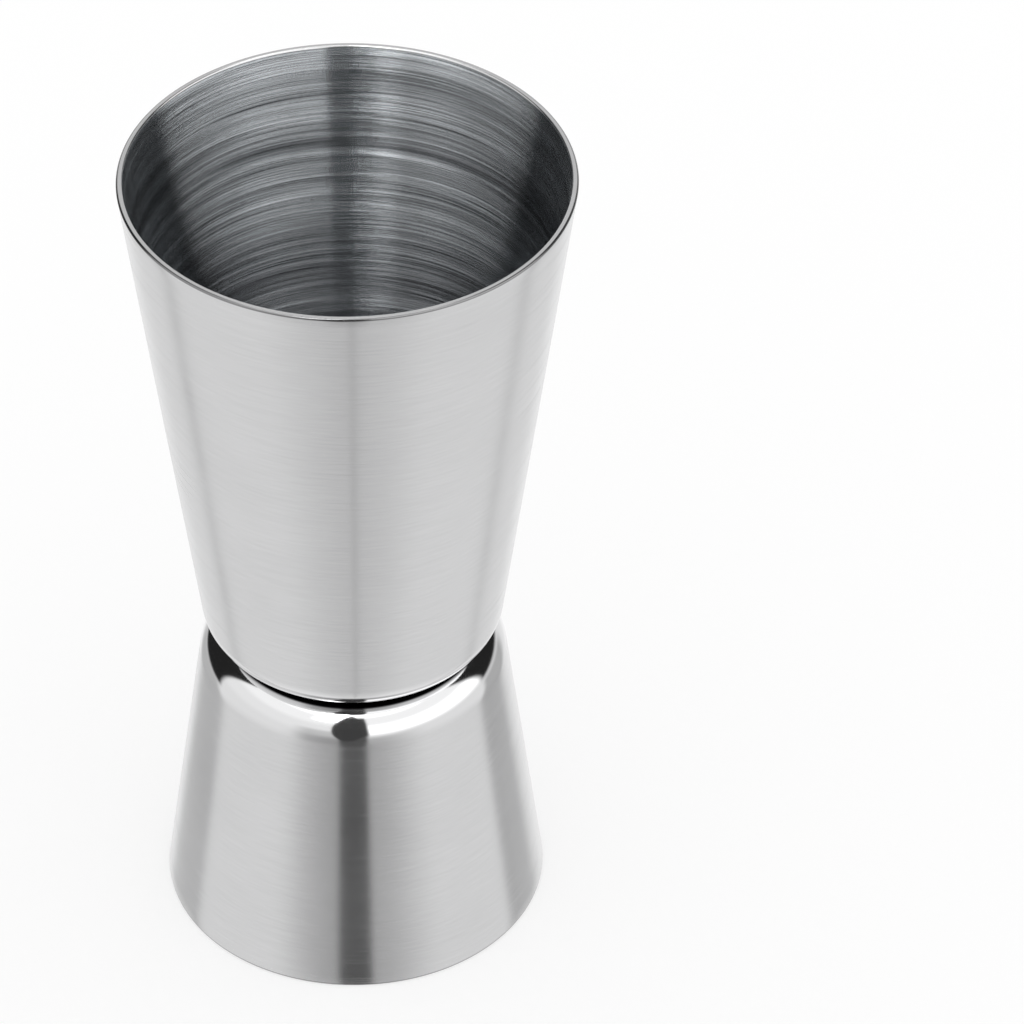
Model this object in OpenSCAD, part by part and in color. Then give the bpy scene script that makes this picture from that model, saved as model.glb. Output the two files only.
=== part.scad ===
// Double-ended bar jigger: two drawn steel cups, spot-welded bottom to bottom.
// It stands on the small cup's rim at z = 0, and the large cup opens upwards.
// The axis of both cups is Z. Millimetres.

/* [Sheet] */
// Thickness of the steel sheet
sheet_t = 0.6; // [0.4:0.05:0.9]
// Rounding of the two edges of each rim
lip_r = 0.2; // [0.08:0.01:0.3]

/* [Large cup] */
// Outside diameter of the large cup's rim
large_rim_d = 42.7; // [36:0.1:52]
// Outside diameter at which the large cup's wall would meet its bottom
large_foot_d = 28.5; // [24:0.1:34]
// Height of the large cup, bottom to rim
large_h = 53.6; // [40:0.1:70]
// Outside radius of the large cup's bottom corner
large_corner_r = 3.8; // [1.5:0.1:5]

/* [Small cup] */
// Outside diameter of the small cup's rim
small_rim_d = 37.5; // [32:0.1:46]
// Outside diameter at which the small cup's wall would meet its bottom
small_foot_d = 29.1; // [24:0.1:31]
// Height of the small cup, rim to bottom
small_h = 31.4; // [22:0.1:44]
// Outside radius of the small cup's bottom corner
small_corner_r = 3.8; // [1.5:0.1:5]

/* [Spot welds] */
// Number of welds
weld_count = 3; // [2:1:6]
// Diameter of each weld nugget
weld_d = 3; // [2:0.1:4]
// Diameter of the circle that the welds stand on
weld_circle_d = 12; // [10:0.1:14]
// How much wider than the nugget the electrode's mark is
mark_extra_d = 1; // [0.4:0.1:1.5]
// Depth of the electrode's mark inside each cup
mark_depth = 0.08; // [0.02:0.01:0.12]

/* [Hidden] */
$fn = 128;

// The two cups' bottoms meet face to face here
joint_z = small_h;
// Each nugget reaches half way through both sheets
nugget_h = sheet_t;
mark_d = weld_d + mark_extra_d;
// No lip is rounder than its sheet allows
lip = min(lip_r, sheet_t * 0.45);
// Cutters pass a face by this much
past = 1;
// The bottom and the wall reach this far, in degrees, into the corner between them
overlap_angle = 10;

steel = "silver";
weld_steel = "dimgray";

// How far a cup's wall leans out from the axis, in degrees
function lean_of(rim_d, foot_d, h) = atan((rim_d - foot_d) / 2 / h);
// Radius, at height z, of a line that lies depth mm inside the wall's outer face
function wall_r(foot_d, lean, z, depth) = foot_d / 2 + (z * sin(lean) - depth) / cos(lean);
// A point at distance r from p, where 0 degrees points along +X
function around(p, r, angle) = [p[0] + r * cos(angle), p[1] + r * sin(angle)];

// Half section of a cup's sheet, from its axis outwards. Its bottom is on z = 0, and it opens upwards.
module cup_section(rim_d, foot_d, h, corner_r) {
    lean = lean_of(rim_d, foot_d, h);
    inner_r = corner_r - sheet_t;
    corner = [wall_r(foot_d, lean, corner_r, corner_r), corner_r];
    outer_lip = [wall_r(foot_d, lean, h - lip, lip), h - lip];
    inner_lip = [wall_r(foot_d, lean, h - lip, sheet_t - lip), h - lip];

    // Bottom: its pointed end lies inside the corner's sheet
    polygon([[0, 0], around(corner, corner_r, -90), around(corner, corner_r - sheet_t / 2, -90 + overlap_angle),
             around(corner, inner_r, -90), [0, sheet_t]]);
    // Corner, a stretch of ring from the bottom to the wall
    intersection() {
        difference() {
            translate(corner) circle(corner_r);
            translate(corner) circle(inner_r);
        }
        polygon([corner, around(corner, 2 * corner_r, -90), around(corner, 3 * corner_r, -45),
                 around(corner, 2 * corner_r, -lean)]);
    }
    // Wall, from another pointed end to the two rounded edges of the rim
    polygon([around(corner, corner_r - sheet_t / 2, -lean - overlap_angle), around(corner, corner_r, -lean),
             around(outer_lip, lip, -lean), around(outer_lip, lip, 90), around(inner_lip, lip, 90),
             around(inner_lip, lip, 180 - lean), around(corner, inner_r, -lean)]);
    translate(outer_lip) circle(lip);
    translate(inner_lip) circle(lip);
}

// One cup, its bottom on z = 0 and its rim above
module cup(rim_d, foot_d, h, corner_r) {
    difference() {
        rotate_extrude() cup_section(rim_d, foot_d, h, corner_r);
        // Each weld fills a pocket in the underside, below the electrode's shallow mark
        at_each_weld() {
            translate([0, 0, -past]) cylinder(d = weld_d, h = past + nugget_h / 2);
            translate([0, 0, sheet_t - mark_depth]) cylinder(d = mark_d, h = past);
        }
    }
}

module at_each_weld() {
    for (i = [0 : weld_count - 1])
        rotate([0, 0, i * 360 / weld_count]) translate([weld_circle_d / 2, 0, 0]) children();
}

module large_cup() {
    color(steel)
        translate([0, 0, joint_z]) cup(large_rim_d, large_foot_d, large_h, large_corner_r);
}

// The small cup stands upside down, with its bottom under the large cup's
module small_cup() {
    color(steel)
        translate([0, 0, joint_z]) mirror([0, 0, 1])
            cup(small_rim_d, small_foot_d, small_h, small_corner_r);
}

// The nuggets that hold the cups together, half in each bottom
module spot_welds() {
    color(weld_steel)
        translate([0, 0, joint_z - nugget_h / 2]) at_each_weld() cylinder(d = weld_d, h = nugget_h);
}

large_cup();
small_cup();
spot_welds();
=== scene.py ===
# A double-ended bar jigger: two drawn steel cups, spot-welded bottom to bottom.
# It stands on the small cup's rim at z = 0, the large cup opens upwards, and its axis is Z.
# Sizes in the dictionaries are millimetres and degrees, and the meshes are in metres.
import math

import bmesh
import bpy
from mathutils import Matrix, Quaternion, Vector, noise


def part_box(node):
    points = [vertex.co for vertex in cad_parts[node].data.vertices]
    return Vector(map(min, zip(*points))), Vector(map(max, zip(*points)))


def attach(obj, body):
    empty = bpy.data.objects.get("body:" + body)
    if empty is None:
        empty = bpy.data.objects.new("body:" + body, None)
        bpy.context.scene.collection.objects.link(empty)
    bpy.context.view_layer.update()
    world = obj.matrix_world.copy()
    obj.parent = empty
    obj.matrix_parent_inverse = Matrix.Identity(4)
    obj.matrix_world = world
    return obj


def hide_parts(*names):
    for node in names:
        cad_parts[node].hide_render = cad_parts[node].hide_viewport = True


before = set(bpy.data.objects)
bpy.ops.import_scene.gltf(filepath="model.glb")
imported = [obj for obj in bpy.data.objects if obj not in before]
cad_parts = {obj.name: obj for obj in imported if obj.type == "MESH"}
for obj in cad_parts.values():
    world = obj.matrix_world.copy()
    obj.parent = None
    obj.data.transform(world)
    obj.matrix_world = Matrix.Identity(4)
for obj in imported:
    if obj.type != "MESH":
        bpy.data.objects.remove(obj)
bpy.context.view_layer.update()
scene = bpy.context.scene
mm = 0.001


# Camera: a long lens, well back and looking down at the jigger
cameraSetup = {
    "place": (0, -475.88, 439.90),
    "lookAt": (15.39, 0, 44.70),  # a little to the right of the jigger
    "roll": 0.4385,
    "lens": 226.37,
    "sensor": 36,
}


def addCamera(setup):
    place = Vector(setup["place"]) * mm
    sight = Vector(setup["lookAt"]) * mm - place
    data = bpy.data.cameras.new("camera")
    data.lens = setup["lens"]
    data.sensor_width = setup["sensor"]
    camera = bpy.data.objects.new("camera", data)
    camera.location = place
    level = sight.to_track_quat("-Z", "Y")
    camera.rotation_euler = (level @ Quaternion((0, 0, 1), math.radians(setup["roll"]))).to_euler()
    scene.collection.objects.link(camera)
    scene.camera = camera


addCamera(cameraSetup)
print("camera placed")


# Node helpers. A value may be a number or another node's socket.
def feed(tree, socket, value):
    if isinstance(value, bpy.types.NodeSocket):
        tree.links.new(value, socket)
    else:
        socket.default_value = value


def calc(tree, operation, *values):
    node = tree.nodes.new("ShaderNodeMath")
    node.operation = operation
    for socket, value in zip(node.inputs, values):
        feed(tree, socket, value)
    return node.outputs["Value"]


def ramp(tree, value, start, end, low=0.0, high=1.0):
    # Eases from low at start to high at end
    node = tree.nodes.new("ShaderNodeMapRange")
    node.interpolation_type = "SMOOTHSTEP"
    for name, given in (("Value", value), ("From Min", start), ("From Max", end),
                        ("To Min", low), ("To Max", high)):
        feed(tree, node.inputs[name], given)
    return node.outputs["Result"]


def between(tree, share, low, high):
    # low where share is 0 and high where it is 1
    return calc(tree, "MULTIPLY_ADD", calc(tree, "SUBTRACT", high, low), share, low)


noiseMiddle = 0.5  # the level that noise swings about


def stretchedNoise(tree, place, scale, detail=2.0, roughness=0.5):
    # Noise on the given coordinates, with its own scale along each axis
    stretch = tree.nodes.new("ShaderNodeMapping")
    tree.links.new(place, stretch.inputs["Vector"])
    stretch.inputs["Scale"].default_value = scale
    node = tree.nodes.new("ShaderNodeTexNoise")
    tree.links.new(stretch.outputs["Vector"], node.inputs["Vector"])
    node.inputs["Scale"].default_value = 1.0
    node.inputs["Detail"].default_value = detail
    node.inputs["Roughness"].default_value = roughness
    return node.outputs["Fac"]


def bumped(tree, height, depth, before=None):
    # depth is in metres, for a height from 0 to 1
    node = tree.nodes.new("ShaderNodeBump")
    node.inputs["Strength"].default_value = 1.0
    node.inputs["Distance"].default_value = depth
    tree.links.new(height, node.inputs["Height"])
    if before is not None:
        tree.links.new(before, node.inputs["Normal"])
    return node.outputs["Normal"]


def tilted(tree, along, slope):
    # Leans the surface's normal across the grain
    normal = tree.nodes.new("ShaderNodeNewGeometry").outputs["Normal"]
    across = tree.nodes.new("ShaderNodeVectorMath")
    across.operation = "CROSS_PRODUCT"
    tree.links.new(normal, across.inputs[0])
    tree.links.new(along, across.inputs[1])
    shift = tree.nodes.new("ShaderNodeVectorMath")
    shift.operation = "SCALE"
    tree.links.new(across.outputs["Vector"], shift.inputs["Vector"])
    tree.links.new(slope, shift.inputs["Scale"])
    total = tree.nodes.new("ShaderNodeVectorMath")
    tree.links.new(normal, total.inputs[0])
    tree.links.new(shift.outputs["Vector"], total.inputs[1])
    unit = tree.nodes.new("ShaderNodeVectorMath")
    unit.operation = "NORMALIZE"
    tree.links.new(total.outputs["Vector"], unit.inputs[0])
    return unit.outputs["Vector"]


# The cups' UV map: how many millimetres of sheet one unit of V spans, and V at the rim's inner edge
sheetMap = {"name": "sheet", "length": 150, "rimLine": 0.5}


def ringPlace(tree):
    # Round the cup in radians, wrapped so that no seam shows, and millimetres inwards from the rim
    uv = tree.nodes.new("ShaderNodeUVMap")
    uv.uv_map = sheetMap["name"]
    apart = tree.nodes.new("ShaderNodeSeparateXYZ")
    tree.links.new(uv.outputs["UV"], apart.inputs["Vector"])
    turn = calc(tree, "MULTIPLY", apart.outputs["X"], math.tau)
    place = tree.nodes.new("ShaderNodeCombineXYZ")
    tree.links.new(calc(tree, "COSINE", turn), place.inputs["X"])
    tree.links.new(calc(tree, "SINE", turn), place.inputs["Y"])
    fromRim = calc(tree, "SUBTRACT", apart.outputs["Y"], sheetMap["rimLine"])
    fromRim = calc(tree, "MULTIPLY", fromRim, sheetMap["length"])
    tree.links.new(fromRim, place.inputs["Z"])
    return place.outputs["Vector"], fromRim


# Steel. The grain runs round the cups, so reflections smear along the wall
# and stay crisp across it.
def newSteel(name, finish):
    material = bpy.data.materials.new(name)
    material.use_nodes = True
    tree = material.node_tree
    shader = tree.nodes["Principled BSDF"]
    shader.inputs["Metallic"].default_value = 1.0
    shader.inputs["Roughness"].default_value = finish["roughness"]
    shader.inputs["Anisotropic"].default_value = finish["anisotropy"]
    shader.inputs["Anisotropic Rotation"].default_value = 0.25  # a quarter turn, across the tangent
    along = tree.nodes.new("ShaderNodeTangent")
    along.direction_type = "UV_MAP"
    along.uv_map = sheetMap["name"]
    tree.links.new(along.outputs["Tangent"], shader.inputs["Tangent"])
    place = tree.nodes.new("ShaderNodeTexCoord").outputs["Object"]
    return material, tree, shader, place


def steelTint(tree, shader, share, dark, light):
    # Each colour is three numbers or another node's socket
    mix = tree.nodes.new("ShaderNodeMix")
    mix.data_type = "RGBA"
    feed(tree, mix.inputs["Factor"], share)
    for name, colour in (("A", dark), ("B", light)):
        feed(tree, mix.inputs[name], (*colour, 1.0) if isinstance(colour, tuple) else colour)
    tree.links.new(mix.outputs["Result"], shader.inputs["Base Color"])
    return mix.outputs["Result"]


brushedFinish = {
    "roughness": 0.2,
    "anisotropy": 0.7,
    "dark": (0.59, 0.59, 0.595),
    "light": (0.73, 0.73, 0.735),
    # fine streaks, as cells round the cup and per millimetre along the sheet
    "grain": (5.0, 5.0, 7.0),
    "grainDepth": 0.0015,
    "clouds": (1.4, 1.4, 0.11),  # slow changes of tint and roughness
    "grainShare": 0.5,  # of the tint
    "cloudShare": 0.5,
    "cloudWear": (0.8, 1.2),  # times the roughness
    "hairs": (1.2, 1.2, 7.0),  # scattered hairlines, rougher than the rest
    "hairReach": (0.56, 0.70),
    "hairWear": 0.06,
    "creviceShade": (0.03, 0.03, 0.032),  # painted shade, near black, in the crevice between the cups
    "creviceShadeAbove": (0.45, 0.6),  # millimetres from the joint
    "creviceShadeBelow": (0.28, 0.42),
    "cornerHighlight": 1.05,  # painted highlight: the bent corners get a lighter tint than the walls
    "cornerReach": (2.4, 3.5),
    "burnishWear": 0.4,  # the bent corners are also smoother
    "edge": 0.35,  # painted shade: the rim's outer edge gets a darker tint
    "lipShadeReach": ((-0.86, -0.78), (-0.56, -0.48)),  # where it starts and ends, from the rim
}


def brushedSteel(finish, jointHeight):
    material, tree, shader, place = newSteel("brushed_steel", finish)
    around, fromRim = ringPlace(tree)
    grain = stretchedNoise(tree, around, finish["grain"])
    clouds = stretchedNoise(tree, around, finish["clouds"], detail=3.0)
    cloudy = calc(tree, "MULTIPLY", clouds, finish["cloudShare"])
    streaked = calc(tree, "MULTIPLY_ADD", grain, finish["grainShare"], cloudy)
    apart = tree.nodes.new("ShaderNodeSeparateXYZ")
    tree.links.new(place, apart.inputs["Vector"])
    aboveJoint = calc(tree, "DIVIDE", calc(tree, "SUBTRACT", apart.outputs["Z"], jointHeight), mm)
    fromJoint = calc(tree, "ABSOLUTE", aboveJoint)
    tintBeforeCreviceShade = steelTint(tree, shader, streaked, finish["dark"], finish["light"])
    # Painted highlight: a lighter tint on the bent corners near the joint
    corner = tuple(c * finish["cornerHighlight"] for c in finish["light"])
    wall = ramp(tree, fromJoint, *finish["cornerReach"])
    tintBeforeCreviceShade = steelTint(tree, shader, wall, corner, tintBeforeCreviceShade)
    # Painted shade: a darker band on the rim's outer edge
    edge = calc(tree, "MULTIPLY", ramp(tree, fromRim, *finish["lipShadeReach"][0]),
                ramp(tree, fromRim, *finish["lipShadeReach"][1], 1.0, 0.0))
    lipShade = tuple(c * finish["edge"] for c in finish["light"])
    tintBeforeCreviceShade = steelTint(tree, shader, edge, tintBeforeCreviceShade, lipShade)
    # Painted shade: a near-black band on both sides of the joint, where the cups meet
    above = ramp(tree, aboveJoint, *finish["creviceShadeAbove"])
    below = ramp(tree, calc(tree, "MULTIPLY", aboveJoint, -1.0), *finish["creviceShadeBelow"])
    steelTint(tree, shader, calc(tree, "MAXIMUM", above, below), finish["creviceShade"], tintBeforeCreviceShade)
    wear = between(tree, clouds, *(finish["roughness"] * share for share in finish["cloudWear"]))
    wear = calc(tree, "MULTIPLY", wear, between(tree, wall, finish["burnishWear"], 1.0))
    hairs = stretchedNoise(tree, around, finish["hairs"], detail=1.0)
    hairs = ramp(tree, hairs, *finish["hairReach"])
    wear = calc(tree, "MULTIPLY_ADD", hairs, calc(tree, "MULTIPLY", wall, finish["hairWear"]), wear)
    tree.links.new(wear, shader.inputs["Roughness"])
    tree.links.new(bumped(tree, grain, finish["grainDepth"] * mm), shader.inputs["Normal"])
    return material


# Inside, the turning tool left wide, middle and narrow rings. Each has its cells round the cup
# and per millimetre along the sheet, and its depth. lightShare is the light tint's share.
turnedFinish = {
    "roughness": 0.22,
    "anisotropy": 1.0,
    "grazing": (0.0, 0.0, 0.0),  # dull where it is seen along the surface
    "dark": (0.182, 0.19, 0.20),
    "light": (0.72, 0.75, 0.775),
    "lightShare": 0.86,
    # how much the wide rings change it: two distances from the rim, and the share at each
    "wideShare": (8, 22, 1.4, 0.7),
    "middleShare": 0.5,
    # painted shade that deepens towards the bottom, and painted bands of light and shade: changes
    # of the light share, each between two distances from the rim
    "paintedLightAndShade": ((-8, 28, -0.55), (0, 5, -0.16), (11, 15, 0.11), (16, 24, -0.11)),
    "rings": ((0.5, 0.5, 0.24), (0.6, 1.5, 0.055), (0.8, 5.0, 0.006)),
    "grooves": (1.0, 100.0),  # finer than the eye sees
    "grooveSlope": 5.0,
}


def turnedSteel(finish):
    material, tree, shader, _ = newSteel("turned_steel", finish)
    shader.inputs["Specular Tint"].default_value = (*finish["grazing"], 1.0)
    place, fromRim = ringPlace(tree)
    across, along = finish["grooves"]
    grooves = stretchedNoise(tree, place, (across, across, along), detail=0.0)
    slope = calc(tree, "SUBTRACT", grooves, noiseMiddle)
    slope = calc(tree, "MULTIPLY", slope, finish["grooveSlope"])
    normal = tilted(tree, shader.inputs["Tangent"].links[0].from_socket, slope)
    layers = []
    for across, along, depth in finish["rings"]:
        ring = stretchedNoise(tree, place, (across, across, along), detail=1.0)
        normal = bumped(tree, ring, depth * mm, normal)
        layers.append(ring)
    wide, middle = (calc(tree, "SUBTRACT", ring, noiseMiddle) for ring in layers[:2])
    wideShare = ramp(tree, fromRim, *finish["wideShare"])
    lightShare = calc(tree, "MULTIPLY_ADD", wide, wideShare, finish["lightShare"])
    # Painted shade: the light share drops towards the bottom of the cup, with painted bands of
    # light and shade below the rim
    for start, end, change in finish["paintedLightAndShade"]:
        lightShare = calc(tree, "ADD", lightShare, ramp(tree, fromRim, start, end, 0.0, change))
    lightShare = calc(tree, "MULTIPLY_ADD", middle, finish["middleShare"], lightShare)
    steelTint(tree, shader, lightShare, finish["dark"], finish["light"])
    tree.links.new(normal, shader.inputs["Normal"])
    return material


outsideSteel = brushedSteel(brushedFinish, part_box("small_cup")[1].z)
insideSteel = turnedSteel(turnedFinish)
print("steel made")


# The sheet that both cups are drawn from
sheet = {
    "thickness": 0.6,
    "lipRadius": 0.2,
    "turnSteps": 192,  # round a cup
    "outsideStep": 1.0,  # spacing of the points along the outer faces
    "insideStep": 0.25,
    "cornerSteps": 24,
    "lipSteps": 6,
    "merge": 0.001,  # vertices closer than this are one
}

largeCup = {
    "name": "large_cup_shell",
    "node": "large_cup",
    "footRadius": 14.25,
    "cornerRadius": 3.8,
}
smallCup = {
    "name": "small_cup_shell",
    "node": "small_cup",
    "footRadius": 14.55,
    "cornerRadius": 3.8,
}

# Shallow rings left by the turning tool inside, and the slight unevenness of the drawn wall
# outside. Scales are cells per metre. Both fade out towards the rim.
toolRings = {"depth": 0.006, "scale": (45, 45, 620), "fade": 3.0}
wallWave = {"depth": 0.01, "scale": (110, 110, 45), "fade": 3.0}
# Three dimples inside each bottom, where the welding electrode pressed
weldMarks = {"count": 3, "circleRadius": 6.0, "radius": 2.0, "edge": 0.3, "depth": 0.08}


# A section grows from its last vertex. Each vertex holds its distance along the sheet.
def grow(bm, tip, way, place):
    fresh = bmesh.ops.extrude_vert_indiv(bm, verts=[tip])["verts"][0]
    fresh.co = place
    fresh[way] = tip[way] + (fresh.co - tip.co).length
    return fresh


def growLine(bm, tip, way, end, spacing):
    start = tip.co.copy()
    steps = max(1, round((end - start).length / spacing))
    for i in range(steps):
        tip = grow(bm, tip, way, start.lerp(end, (i + 1) / steps))
    return tip


def growArc(bm, tip, way, centre, angle, steps):
    arm = tip.co - centre
    for i in range(steps):
        turn = Quaternion((0, -1, 0), angle * (i + 1) / steps)
        tip = grow(bm, tip, way, centre + turn @ arm)
    return tip


def growSection(bm, way, cup, height, rimRadius):
    # Half section of a cup on its bottom: underside, wall, rim and back down the inside.
    # Gives the distances at which the rim starts and ends.
    thick, lip = sheet["thickness"] * mm, sheet["lipRadius"] * mm
    coarse, close = sheet["outsideStep"] * mm, sheet["insideStep"] * mm
    foot, corner = cup["footRadius"] * mm, cup["cornerRadius"] * mm
    up, quarter = Vector((0, 0, 1)), math.pi / 2
    outerLip = Vector((rimRadius - lip, 0, height - lip))
    reach = outerLip - Vector((foot, 0, 0))
    lean = math.atan2(reach.x, reach.z) + math.asin(lip / reach.length)
    square = Vector((math.cos(lean), 0, -math.sin(lean)))  # out of the wall
    innerLip = outerLip - Vector(((thick - 2 * lip) / math.cos(lean), 0, 0))
    bend = Vector((foot - corner * (1 - math.sin(lean)) / math.cos(lean), 0, corner))

    tip = bm.verts.new((0, 0, 0))
    tip = growLine(bm, tip, way, bend - up * corner, coarse)
    tip = growArc(bm, tip, way, bend, quarter - lean, sheet["cornerSteps"])
    tip = growLine(bm, tip, way, outerLip + square * lip, coarse)
    rimStart = tip[way]
    tip = growArc(bm, tip, way, outerLip, quarter + lean, sheet["lipSteps"])
    tip = growLine(bm, tip, way, innerLip + up * lip, coarse)
    tip = growArc(bm, tip, way, innerLip, quarter - lean, sheet["lipSteps"])
    rimEnd = tip[way]
    tip = growLine(bm, tip, way, bend + square * (corner - thick), close)
    tip = growArc(bm, tip, way, bend, lean - quarter, sheet["cornerSteps"])
    growLine(bm, tip, way, up * thick, close)
    return rimStart, rimEnd


def roughen(bm, way, rimStart, rimEnd):
    # Moves each vertex a few thousandths of a millimetre along its normal, and none on the rim
    bm.normal_update()
    for v in bm.verts:
        if v[way] > rimEnd:
            marks, away = toolRings, v[way] - rimEnd
        else:
            marks, away = wallWave, rimStart - v[way]
        sample = Vector([c * s for c, s in zip(v.co, marks["scale"])])
        amount = noise.noise(sample) * marks["depth"] * mm
        v.co += v.normal * amount * min(1, max(0, away / (marks["fade"] * mm)))


def pressMarks(bm, way, rimEnd):
    # Sinks each electrode's mark into the inside of the bottom, with an eased edge
    reach, edge = weldMarks["radius"] * mm, weldMarks["edge"] * mm
    for i in range(weldMarks["count"]):
        turn = math.tau * i / weldMarks["count"]
        centre = Vector((math.cos(turn), math.sin(turn))) * weldMarks["circleRadius"] * mm
        for v in bm.verts:
            inside = reach + edge - (v.co.xy - centre).length
            if v[way] > rimEnd and inside > 0:
                share = min(1, inside / edge)
                v.co -= v.normal * weldMarks["depth"] * mm * share * share * (3 - 2 * share)


def mapSheet(bm, way, rimEnd):
    # U runs once round the cup, and V along the sheet. The inside takes the second material.
    uv = bm.loops.layers.uv.new(sheetMap["name"])
    for face in bm.faces:
        middle = face.calc_center_median()
        facing = math.atan2(middle.y, middle.x)
        face.material_index = int(sum(v[way] for v in face.verts) / len(face.verts) > rimEnd)
        for loop in face.loops:
            spot = loop.vert.co
            off = 0.0
            if spot.xy.length > sheet["merge"] * mm:
                off = math.remainder(math.atan2(spot.y, spot.x) - facing, math.tau)
            inwards = (loop.vert[way] - rimEnd) / (sheetMap["length"] * mm)
            loop[uv].uv = ((facing + off) / math.tau, sheetMap["rimLine"] + inwards)


def addCup(cup, upsideDown):
    low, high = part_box(cup["node"])
    bm = bmesh.new()
    way = bm.verts.layers.float.new("way")
    rimStart, rimEnd = growSection(bm, way, cup, high.z - low.z, high.x)
    bmesh.ops.spin(bm, geom=bm.verts[:] + bm.edges[:], cent=(0, 0, 0), axis=(0, 0, 1),
                   angle=math.tau, steps=sheet["turnSteps"], use_merge=True)
    bmesh.ops.remove_doubles(bm, verts=bm.verts[:], dist=sheet["merge"] * mm)
    if upsideDown:
        bmesh.ops.scale(bm, vec=(1, 1, -1), verts=bm.verts[:])
    bmesh.ops.translate(bm, vec=(0, 0, high.z if upsideDown else low.z), verts=bm.verts[:])
    bmesh.ops.recalc_face_normals(bm, faces=bm.faces[:])
    roughen(bm, way, rimStart, rimEnd)
    pressMarks(bm, way, rimEnd)
    mapSheet(bm, way, rimEnd)
    mesh = bpy.data.meshes.new(cup["name"])
    bm.to_mesh(mesh)
    bm.free()
    mesh.shade_smooth()
    mesh.materials.append(outsideSteel)
    mesh.materials.append(insideSteel)
    shell = bpy.data.objects.new(cup["name"], mesh)
    scene.collection.objects.link(shell)
    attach(shell, "root")
    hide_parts(cup["node"])
    print(cup["name"], "made,", len(mesh.polygons), "faces")


addCup(largeCup, upsideDown=False)
addCup(smallCup, upsideDown=True)


# Weld steel, hidden between the cups
weldFinish = {
    "dark": (0.36, 0.35, 0.34),
    "light": (0.52, 0.51, 0.50),
    "roughness": (0.35, 0.55),
    "grains": (2500, 2500, 2500),  # per metre
    "grainDepth": 0.004,
}


def weldSteel(finish):
    material = bpy.data.materials.new("weld_steel")
    material.use_nodes = True
    tree = material.node_tree
    shader = tree.nodes["Principled BSDF"]
    place = tree.nodes.new("ShaderNodeTexCoord").outputs["Object"]
    grains = stretchedNoise(tree, place, finish["grains"], detail=3.0)
    shader.inputs["Metallic"].default_value = 1.0
    steelTint(tree, shader, grains, finish["dark"], finish["light"])
    tree.links.new(between(tree, grains, *finish["roughness"]), shader.inputs["Roughness"])
    tree.links.new(bumped(tree, grains, finish["grainDepth"] * mm), shader.inputs["Normal"])
    return material


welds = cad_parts["spot_welds"]
welds.data.materials.clear()
welds.data.materials.append(weldSteel(weldFinish))
print("welds dressed")


# Studio: a white table, two large soft boxes with the camera in the gap between them, and
# dark cloths behind them at both sides. Polished steel shows all of it; the camera sees white.
# Directions are degrees, seen from the jigger: 0 is the camera's side, and the right is positive.
studio = {
    "tableLevel": 0.92,
    "boxLevels": (1.0, 1.75),  # left and right
    "boxGap": (-10, 12),
    "upperLevel": 1.15,  # both boxes fall to this level
    "upperFrom": (30, 42),
    "horizon": (2, 18),  # table to soft box
    "backFrom": (138, 156),  # the table runs on behind, below a grey wall
    "backTable": 1.03,
    "backWall": 0.72,
    "boxTop": (57, 66),
    "overhead": 2.1,
    "ceilingFrom": (70, 80),
    "ceilingLevel": 0.8,
    "cards": (
        # the camera's own soft shade on the table in front, and a dark cloth at its left
        {"left": (-54, -12), "right": (12, 54), "bottom": (-50, -37), "under": 0.35,
         "top": (-6, 8), "share": 0.42, "level": 0.0},
        {"left": (-46, -30), "right": (-8, -4), "bottom": (-30, -16), "under": 0.0,
         "top": (14, 24), "share": 0.35, "level": 0.1},
        # cloths
        {"left": (-156, -140), "right": (-107, -102), "bottom": (-12, -5), "under": 0.0,
         "top": (62, 70), "share": 1.0, "level": 0.02},
        {"left": (97, 105), "right": (140, 156), "bottom": (0, 9), "under": 0.0,
         "top": (62, 70), "share": 1.0, "level": 0.02},
        # and the shade that they throw on the table
        {"left": (-156, -140), "right": (-112, -102), "bottom": (-42, -34), "under": 0.0,
         "top": (-14, -6), "share": 0.4, "level": 0.0},
        {"left": (98, 105), "right": (128, 140), "bottom": (-42, -34), "under": 0.0,
         "top": (-6, 6), "share": 0.45, "level": 0.0},
        # the camera's stand, a cable under it, and its boom
        {"left": (-12.5, -8.5), "right": (6.5, 10.5), "bottom": (-48, -38), "under": 0.0,
         "top": (20, 30), "share": 1.0, "level": 0.1},
        {"left": (-1.5, 0.5), "right": (2.5, 4.5), "bottom": (-84, -74), "under": 0.0,
         "top": (-46, -40), "share": 0.25, "level": 0.1},
        {"left": (-5, -1), "right": (8, 11), "bottom": (0, 12), "under": 0.0,
         "top": (56, 64), "share": 1.0, "level": 0.06},
        # a lamp high up behind it, brightest at its right
        {"left": (-40, -26), "right": (-8, -5), "bottom": (44, 50), "under": 0.0,
         "top": (76, 82), "share": 1.0, "level": 5.2},
        {"left": (-20, -15), "right": (-8, -5), "bottom": (62, 66), "under": 0.0,
         "top": (78, 84), "share": 1.0, "level": 9.0},
        # and the two edges of the sheet of paper that the jigger stands on
        {"left": (-118, -115), "right": (-113, -110), "bottom": (-84, -74), "under": 0.0,
         "top": (-42, -34), "share": 0.6, "level": 0.1},
        {"left": (107, 110), "right": (114, 118), "bottom": (-84, -74), "under": 0.0,
         "top": (-42, -34), "share": 0.35, "level": 0.1},
    ),
    # the camera and whoever holds it, a round shape
    "body": {"turn": -4.4, "height": 29, "halfWidth": 12.2, "halfHeight": 37,
             "edge": 0.06, "level": 0.06},
}


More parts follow.
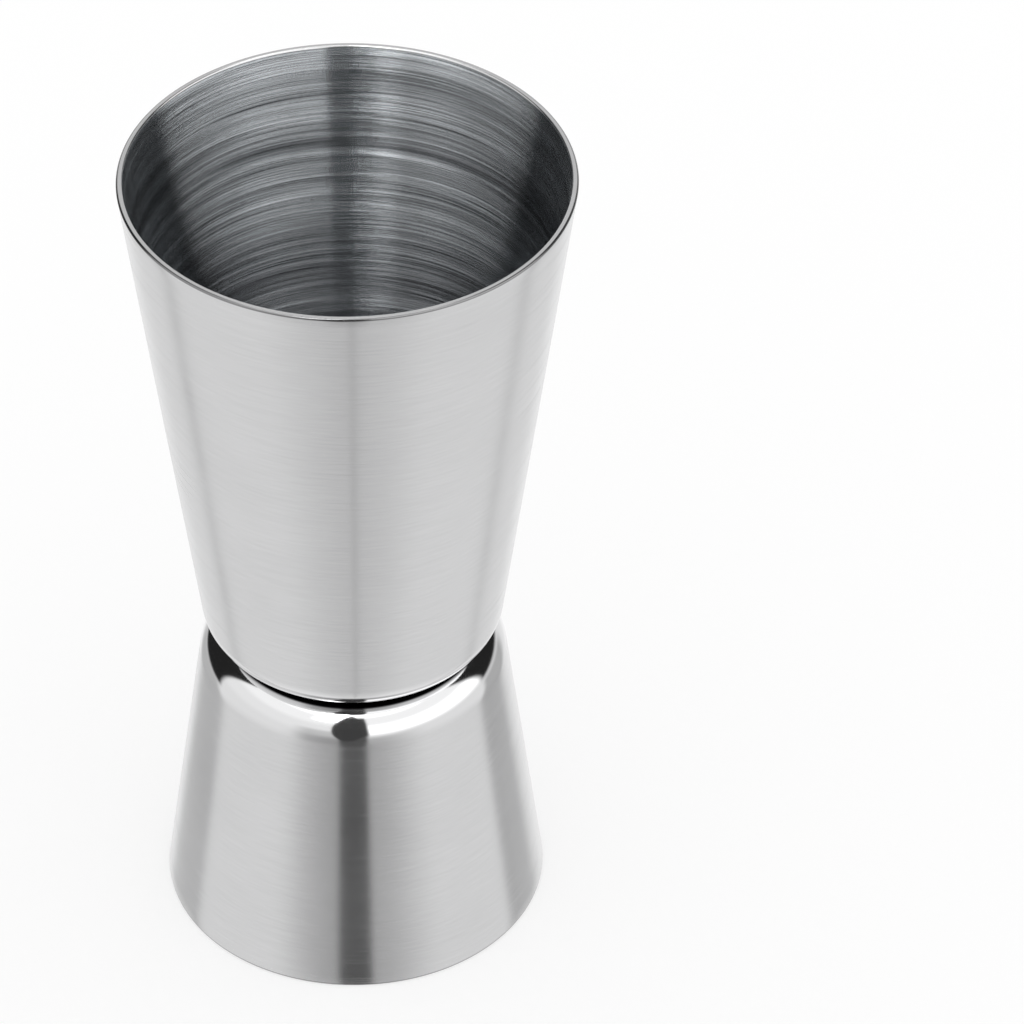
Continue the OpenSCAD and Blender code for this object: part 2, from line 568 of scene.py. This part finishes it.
def addCard(tree, light, turn, height, card):
    # Brings the light to the card's level within its four soft edges
    share = calc(tree, "MULTIPLY", ramp(tree, turn, *card["left"], 0.0, card["share"]),
                 ramp(tree, turn, *card["right"], 1.0, 0.0))
    share = calc(tree, "MULTIPLY", share, ramp(tree, height, *card["bottom"], card["under"], 1.0))
    share = calc(tree, "MULTIPLY", share, ramp(tree, height, *card["top"], 1.0, 0.0))
    return between(tree, share, light, card["level"])


def addBody(tree, light, turn, height, body):
    across = calc(tree, "DIVIDE", calc(tree, "SUBTRACT", turn, body["turn"]), body["halfWidth"])
    along = calc(tree, "DIVIDE", calc(tree, "SUBTRACT", height, body["height"]), body["halfHeight"])
    squares = calc(tree, "MULTIPLY_ADD", across, across, calc(tree, "MULTIPLY", along, along))
    share = ramp(tree, calc(tree, "SQRT", squares), 1 - body["edge"], 1 + body["edge"], 1.0, 0.0)
    return between(tree, share, light, body["level"])


def studioLight(tree, setup):
    way = tree.nodes.new("ShaderNodeSeparateXYZ")
    tree.links.new(tree.nodes.new("ShaderNodeTexCoord").outputs["Generated"], way.inputs["Vector"])
    x, y, z = way.outputs
    height = calc(tree, "DEGREES", calc(tree, "ARCSINE", z))
    turn = calc(tree, "DEGREES", calc(tree, "ARCTAN2", x, calc(tree, "MULTIPLY", y, -1.0)))

    box = ramp(tree, turn, *setup["boxGap"], *setup["boxLevels"])
    box = ramp(tree, height, *setup["upperFrom"], box, setup["upperLevel"])
    light = ramp(tree, height, *setup["horizon"], setup["tableLevel"], box)
    wall = ramp(tree, height, *setup["horizon"], setup["backTable"], setup["backWall"])
    light = between(tree, ramp(tree, calc(tree, "ABSOLUTE", turn), *setup["backFrom"]), light, wall)
    light = ramp(tree, height, *setup["boxTop"], light, setup["overhead"])
    light = ramp(tree, height, *setup["ceilingFrom"], light, setup["ceilingLevel"])
    for card in setup["cards"]:
        light = addCard(tree, light, turn, height, card)
    return addBody(tree, light, turn, height, setup["body"])


def addStudio(setup):
    world = bpy.data.worlds.new("studio")
    world.use_nodes = True
    tree = world.node_tree
    ray = tree.nodes.new("ShaderNodeLightPath").outputs
    # Steel sees the studio, and everything else sees even white light
    level = between(tree, ray["Is Glossy Ray"], 1.0, studioLight(tree, setup))
    tree.links.new(level, tree.nodes["Background"].inputs["Strength"])
    tree.nodes["Background"].inputs["Color"].default_value = (1, 1, 1, 1)
    world.cycles.sampling_method = "NONE"  # a light sample can't tell steel from the rest
    scene.world = world


addStudio(studio)
print("studio lit")


# Floor: a white table top. The camera sees it brighter than it is,
# and sees the jigger's shadow fainter.
floorSetup = {"size": 4.0, "colour": (1.0, 1.0, 1.0), "glow": 0.6}


def addFloor(setup):
    bm = bmesh.new()
    bmesh.ops.create_grid(bm, x_segments=1, y_segments=1, size=setup["size"] / 2)
    mesh = bpy.data.meshes.new("table_top")
    bm.to_mesh(mesh)
    bm.free()
    material = bpy.data.materials.new("table_white")
    material.use_nodes = True
    tree = material.node_tree
    shader = tree.nodes["Principled BSDF"]
    shader.inputs["Base Color"].default_value = (*setup["colour"], 1)
    shader.inputs["Roughness"].default_value = 1.0
    shader.inputs["Specular IOR Level"].default_value = 0.0
    glow = tree.nodes.new("ShaderNodeEmission")
    seen = tree.nodes.new("ShaderNodeLightPath").outputs["Is Camera Ray"]
    mix = tree.nodes.new("ShaderNodeMixShader")
    feed(tree, mix.inputs["Fac"], calc(tree, "MULTIPLY", seen, setup["glow"]))
    tree.links.new(shader.outputs["BSDF"], mix.inputs[1])
    tree.links.new(glow.outputs["Emission"], mix.inputs[2])
    tree.links.new(mix.outputs["Shader"], tree.nodes["Material Output"].inputs["Surface"])
    mesh.materials.append(material)
    floor = bpy.data.objects.new("table_top", mesh)
    floor.visible_glossy = False
    scene.collection.objects.link(floor)


addFloor(floorSetup)
print("floor laid")

bounces = 20  # light crosses a cup many times before it leaves
scene.cycles.max_bounces = bounces
scene.cycles.glossy_bounces = bounces
scene.view_settings.view_transform = "Standard"
